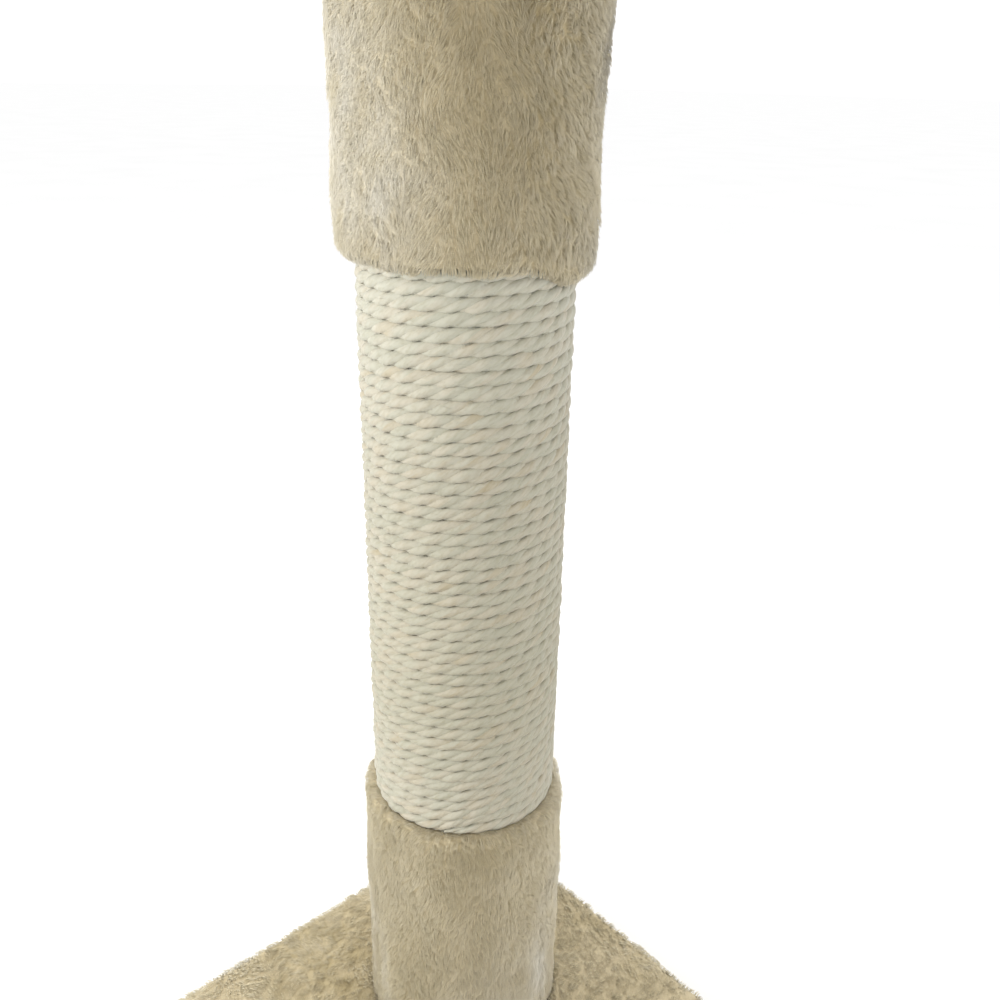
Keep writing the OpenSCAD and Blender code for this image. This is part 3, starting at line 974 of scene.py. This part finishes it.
def make_cover_cloth(name, centre, half, profile, low, board_low, board_high, seed, pressed):
    """The closed cloth of a cover, and its points."""
    rings = cover_rings(centre, half, profile, low.z, board_low.z, board_high.z)
    rows = len(rings)
    points = np.concatenate(rings + [[[*centre, profile[0, 1]]], [[*centre, board_high.z]]])
    outer = np.arange(len(points)) < (TOP_RINGS + len(profile)) * COVER_COLUMNS
    points[:, 2] = np.maximum(points[:, 2] + outer * relief(points, seed), low.z)
    if pressed is not None:
        press_down(points, *pressed)
    j = np.arange(COVER_COLUMNS)
    j2 = (j + 1) % COVER_COLUMNS
    top_middle = np.full(COVER_COLUMNS, rows * COVER_COLUMNS)
    last_ring = (rows - 1) * COVER_COLUMNS
    first = np.stack([top_middle, j, j2], -1)
    last = np.stack([top_middle + 1, last_ring + j2, last_ring + j], -1)
    return make_piece(name, points, grid_faces(rows, COVER_COLUMNS)[:, ::-1], first, last), points


def make_cover(name, node, board, density, seed, clear, pressed=None, hem_pile=False):
    """A plush cover: over a board's top, down its sides and a hem stapled underneath. pressed is
    where the post stands on it: the dent's radius, its height and how wide it fades."""
    low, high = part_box(node)
    board_low, board_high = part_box(board)
    centre, half = level_box(board_low, board_high)
    profile, slope = cover_profile(low, high, board_low, board_high)
    cloth, points = make_cover_cloth(
        name, centre, half, profile, low, board_low, board_high, seed, pressed
    )
    mark_painted_light(cloth, points)
    finish_piece(cloth, ground)

    rng = np.random.default_rng(seed)
    root, normal = cover_roots(rng, centre, half, profile, slope, density)
    if pressed is not None:
        keep = from_axis(root) > pressed[0] + 1 * MM
        root, normal = root[keep], normal[keep]
    root[:, 2] = np.maximum(root[:, 2] + relief(root, seed), low.z + 0.4 * MM)
    if hem_pile:
        hem = hem_roots(rng, centre, half, low.z, density)
        root, normal = np.concatenate([root, hem[0]]), np.concatenate([normal, hem[1]])
    root = root - normal * ROOT_SINK
    # combed one way on the flats and down on the sides
    flow = np.where(np.abs(normal[:, 2:]) < 0.7, -UP, BOARD_NAP)
    nap = along_surface(flow, normal)
    pile = grow_pile(name + "_pile", root, normal, nap, BOARD_LOOK, seed, clear)
    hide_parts(node)


def relief(points, seed):
    """How far a cover's surface rises and falls."""
    return (0.5 * waves(points, 11 * MM, seed) + 0.5 * waves(points, 45 * MM, seed + 1)) * MM


def cover_roots(rng, centre, half, profile, slope, density):
    """Random roots over the top, the rounded edge, the sides and the hem's rounding."""
    outset, z = profile[0]
    size = 2 * (half + outset)
    count = int(size[0] * size[1] * density)
    flat = (rng.random((count, 2)) - 0.5) * size
    inner = half - BOARD_CORNER_R
    over = np.maximum(np.abs(flat) - inner, 0)
    flat = flat[np.hypot(over[:, 0], over[:, 1]) < BOARD_CORNER_R + outset]
    top = at_height(centre + flat, z)
    top_normal = np.tile(UP, (len(top), 1))
    arc = lengths_along(profile)
    around = 4 * (half[0] + half[1])
    count = int(arc[-1] * around * density * SIDE_FULLER)
    at = rng.uniform(0, arc[-1], count)
    p, n = outline(rng.random(count), *half, BOARD_CORNER_R)
    out, height = on_profile(at, arc, profile)
    n_out, n_up = on_profile(at, arc, slope)
    side = np.concatenate([centre + p + n * out[:, None], height[:, None]], 1)
    side_normal = unit(np.concatenate([n * n_out[:, None], n_up[:, None]], 1))
    return np.concatenate([top, side]), np.concatenate([top_normal, side_normal])


def hem_roots(rng, centre, half, z, density):
    """Random roots on the margin that is wrapped under a board."""
    flat = (rng.random((int(4 * half[0] * half[1] * density), 2)) - 0.5) * 2 * half
    over = np.maximum(np.abs(flat) - half + BOARD_CORNER_R, 0)
    margin = (np.abs(flat) > half - HEM_WIDTH + 1 * MM).any(1)
    flat = flat[margin & (np.hypot(over[:, 0], over[:, 1]) < BOARD_CORNER_R)]
    root = at_height(centre + flat, z)
    return root, np.tile(-UP, (len(root), 1))


def clear_base(points):
    """The base's pile stays above the floor and outside the lower sleeve."""
    points = keep_off(points, LOWER_R - 1.5 * MM, math.inf)
    points[:, 2] = np.maximum(points[:, 2], base_low.z + 0.8 * MM)
    return points


def leave(points):
    """For pile that has no neighbour to run into."""
    return points


make_cover(
    "base_plush_cover", "base_cover", "base_board", BASE_DENSITY, 31, clear_base,
    pressed=(LOWER_R - 3 * MM, tube_low.z, 6 * MM),
)
make_cover(
    "perch_plush_cover", "perch_cover", "perch_board", PERCH_DENSITY, 47, leave, hem_pile=True
)

# ---------- plush panel under the perch ----------

PANEL_CORNER_R = 12 * MM
PANEL_COLUMNS = 320
PANEL_RINGS = 40


def make_panel():
    """The plush panel glued under the perch, crushed where the post meets it."""
    centre, half = level_box(panel_low, panel_high)
    spread, facing = outline(np.arange(PANEL_COLUMNS) / PANEL_COLUMNS, *half, PANEL_CORNER_R)
    ground_z = panel_low.z + COVER_DROP
    glued_z = panel_high.z - 0.05 * MM
    rings = [(shrink, ground_z) for shrink in np.linspace(MIDDLE, 1, PANEL_RINGS)]
    rings += [(shrink, glued_z) for shrink in (1, 0.5, MIDDLE)]
    points = np.concatenate([at_height(centre + (spread - facing * MM) * k, z) for k, z in rings])
    crushed = 1 - smooth(from_axis(points), TUBE_R + 2 * MM, TUBE_R + 8 * MM)
    points[:, 2] += np.maximum(tube_high.z + 0.1 * MM - points[:, 2], 0) * crushed
    cap = np.arange(PANEL_COLUMNS)[None]
    last = (len(rings) - 1) * PANEL_COLUMNS
    cloth = make_piece(
        "perch_plush_panel", points, grid_faces(len(rings), PANEL_COLUMNS), cap[:, ::-1], cap + last
    )
    finish_piece(cloth, ground)

    rng = np.random.default_rng(61)
    count = int(4 * half[0] * half[1] * PANEL_DENSITY)
    flat = (rng.random((count, 2)) - 0.5) * 2 * (half - 1.5 * MM)
    root = at_height(centre + flat, ground_z + 0.5 * MM)
    root = root[from_axis(root) > UPPER_R - 2 * MM]
    normal = np.tile(-UP, (len(root), 1))
    nap = unit(np.tile([1.0, 1.0, 0.0], (len(root), 1)))
    pile = grow_pile("perch_plush_panel_pile", root, normal, nap, UNDER_LOOK, 62, leave)
    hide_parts("perch_underside")


make_panel()

# ---------- floor and light ----------

FLOOR_HALF = 30.0
FLOOR_DROP = 0.2 * MM            # keeps the floor clear of the base
HIGHEST_AIM = 0.45               # a lamp above this height is tilted down towards it


def make_floor():
    square = ((-1, -1), (1, -1), (1, 1), (-1, 1))
    corners = [[x * FLOOR_HALF, y * FLOOR_HALF, -FLOOR_DROP] for x, y in square]
    floor = make_piece("studio_floor", corners, np.arange(4)[None])
    floor.data.materials.append(floor_material())


def make_light(name, side, distance, height, size, power):
    """A soft round lamp that faces the post. side is in degrees to the camera's right of the
    front, and distance from the post's axis."""
    a = FRONT + math.radians(side)
    spot = Vector((POST_X + distance * math.cos(a), POST_Y + distance * math.sin(a), height))
    aim = Vector((POST_X, POST_Y, min(height, HIGHEST_AIM)))
    lamp = bpy.data.objects.new(name, bpy.data.lights.new(name, "AREA"))
    lamp.data.shape = "DISK"
    lamp.data.size = size
    lamp.data.energy = power
    lamp.location = spot
    lamp.rotation_euler = (spot - aim).to_track_quat("Z", "Y").to_euler()
    lamp.visible_camera = False
    bpy.context.collection.objects.link(lamp)


def make_world(strength):
    """An even white studio."""
    world = bpy.data.worlds.new("studio")
    world.use_nodes = True
    background = world.node_tree.nodes["Background"]
    background.inputs["Color"].default_value = (1.0, 1.0, 1.0, 1)
    background.inputs["Strength"].default_value = strength
    bpy.context.scene.world = world
    bpy.context.scene.view_settings.view_transform = "Standard"


make_floor()
make_world(strength=1.13)
make_light("key", side=-75, distance=2.2, height=1.0, size=1.1, power=20)
make_light("near_key", side=-72, distance=0.75, height=0.58, size=0.35, power=1.8)
make_light("fill", side=10, distance=2.6, height=0.6, size=1.4, power=5)
make_light("low_fill", side=80, distance=0.6, height=0.12, size=0.4, power=0.25)
make_light("back", side=180, distance=0.8, height=1.2, size=0.8, power=6)

# ---------- materials of the CAD pieces ----------

particle_board = board_material("particle_board", (0.42, 0.28, 0.15), (0.72, 0.56, 0.36))
fibreboard = board_material("fibreboard", (0.38, 0.25, 0.14), (0.52, 0.37, 0.22))
beech = grain_material("beech", (0.55, 0.36, 0.20), (0.74, 0.54, 0.34), (1, 1, 0.08))
card = grain_material("card", (0.34, 0.22, 0.12), (0.48, 0.34, 0.21), (1, 1, 0.3))
steel = steel_material()
lining = lining_material()

FINISH = {
    "particle_board": particle_board, "plug_wood": fibreboard, "beech": beech, "card": card,
    "zinc_steel": steel, "lining": lining,
}
for part in frame["record"]["subparts"]:
    finish = FINISH.get(part["material_slot"])
    if finish is not None:
        for material_slot in frame["nodes"][part["node"]].material_slots:
            material_slot.material = finish
